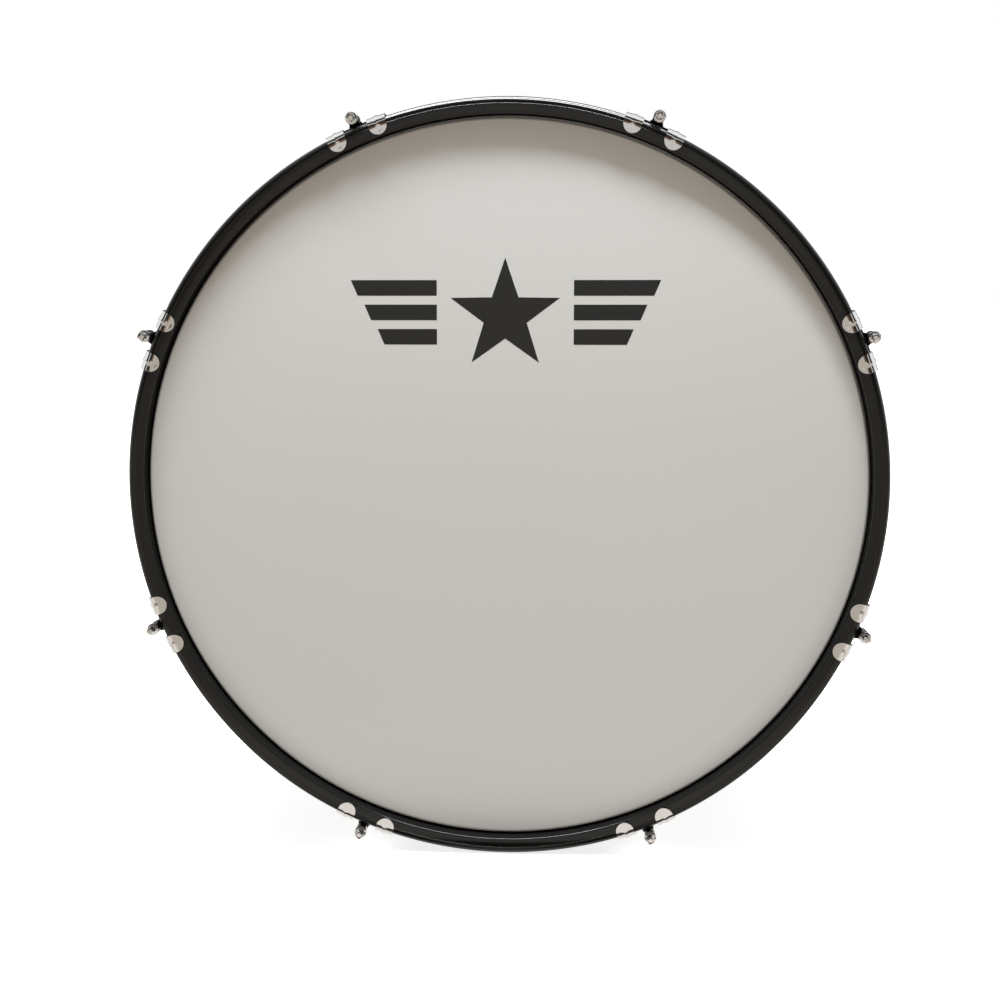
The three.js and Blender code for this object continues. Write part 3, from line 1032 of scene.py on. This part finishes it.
def seen_or_given(tree, seen, given, surface):
    """One shader for what the camera sees, another for the light given to everything else."""
    path = add(tree, "ShaderNodeLightPath")
    choice = add(tree, "ShaderNodeMixShader")
    tree.links.new(path.outputs["Is Camera Ray"], choice.inputs["Fac"])
    tree.links.new(given, choice.inputs[1])
    tree.links.new(seen, choice.inputs[2])
    tree.links.new(choice.outputs["Shader"], surface)


def floor_material():
    """White to the eye; the painted bounce light it gives back to the drum is warmer, dims away
    from the drum, and holds a painted shadow band before the batter hoop.
    """
    material, tree, shader = new_material("floor", Roughness=0.8)
    shader.inputs["Specular IOR Level"].default_value = 0.0
    shader.inputs["Emission Color"].default_value = (1, 1, 1, 1)
    shader.inputs["Emission Strength"].default_value = FLOOR_GLOW
    point = object_point(tree)
    tinted(tree, shader, noise(tree, point, 30, 3), (0.93, 0.93, 0.93), (0.95, 0.95, 0.95))
    split = add(tree, "ShaderNodeSeparateXYZ")
    tree.links.new(point, split.inputs["Vector"])
    along = ranged(tree, split.outputs["Y"], 0.0, 1.0, *FLOOR_SPAN)
    # painted bounce light and painted shadow, glowing from the floor to everything but the camera
    given = add(tree, "ShaderNodeEmission")
    tree.links.new(colour_ramp(tree, along, FLOOR_BOUNCE_AND_SHADOW), given.inputs["Color"])
    output = tree.nodes["Material Output"]
    seen_or_given(tree, shader.outputs["BSDF"], given.outputs["Emission"], output.inputs["Surface"])
    return material


def studio_world():
    """A white backdrop to the eye. Reflections see grey and dark bands and a pale surround."""
    world = bpy.data.worlds.new("studio")
    bpy.context.scene.world = world
    world.use_nodes = True
    tree = world.node_tree
    tree.nodes.clear()
    output = add(tree, "ShaderNodeOutputWorld")
    seen = add(tree, "ShaderNodeBackground", Color=(1, 1, 1, 1), Strength=1.0)
    around = add(tree, "ShaderNodeBackground", Strength=1.0)
    coordinates = add(tree, "ShaderNodeTexCoord")
    split = add(tree, "ShaderNodeSeparateXYZ")
    tree.links.new(coordinates.outputs["Generated"], split.inputs["Vector"])
    facing = ranged(tree, split.outputs["Y"], 0.0, 1.0, -1.0, 1.0)
    tree.links.new(colour_ramp(tree, facing, ROOM), around.inputs["Color"])
    seen_or_given(tree, seen.outputs["Background"], around.outputs["Background"],
                  output.inputs["Surface"])


def softbox(name, place, aim, size, power, tint):
    """A rectangular light. Lengths in metres, power in watts."""
    light = bpy.data.lights.new(name, "AREA")
    light.shape = "RECTANGLE"
    light.size, light.size_y = size
    light.energy = power
    light.color = tint
    lamp = bpy.data.objects.new(name, light)
    lamp.location = place
    lamp.rotation_euler = (Vector(place) - Vector(aim)).to_track_quat("Z", "Y").to_euler()
    bpy.context.scene.collection.objects.link(lamp)
    return lamp


def keep_off_chrome(lamps):
    """Claws and rods are lit by the room alone, so that the softboxes don't burn them out."""
    mirrors = bpy.data.collections.new("mirrors")
    for piece in bpy.context.scene.collection.objects:
        if "_claw_fine_" in piece.name or "_rod_fine_" in piece.name:
            mirrors.objects.link(piece)
    for lamp in lamps:
        lamp.light_linking.receiver_collection = mirrors
    for entry in mirrors.collection_objects:
        entry.light_linking.link_state = "EXCLUDE"


def studio():
    camera()
    bm = bmesh.new()
    ways = ((-1, -1), (1, -1), (1, 1), (-1, 1))
    bm.faces.new([bm.verts.new((x * FLOOR_REACH, y * FLOOR_REACH, FLOOR_LEVEL)) for x, y in ways])
    finish_mesh("floor", bm, [floor_material()])
    studio_world()
    overhead = softbox("overhead", place=(-0.08, -0.52, 2.00), aim=(0, -0.15, 0.5),
                       size=(1.35, 0.26), power=48.0, tint=(0.90, 0.96, 1.0))
    behind = softbox("behind", place=(0, 0.35, 2.90), aim=(0, -0.15, 0.6),
                     size=(2.3, 0.60), power=120.0, tint=(1.0, 1.0, 1.0))
    keep_off_chrome([overhead, behind])
    bpy.context.scene.view_settings.view_transform = "Standard"


shell()
for side in SIDES:
    counterhoop(side)
    flesh_hoop(side)
    film(side)
grommet()
tension_hardware()
emblem()
studio()
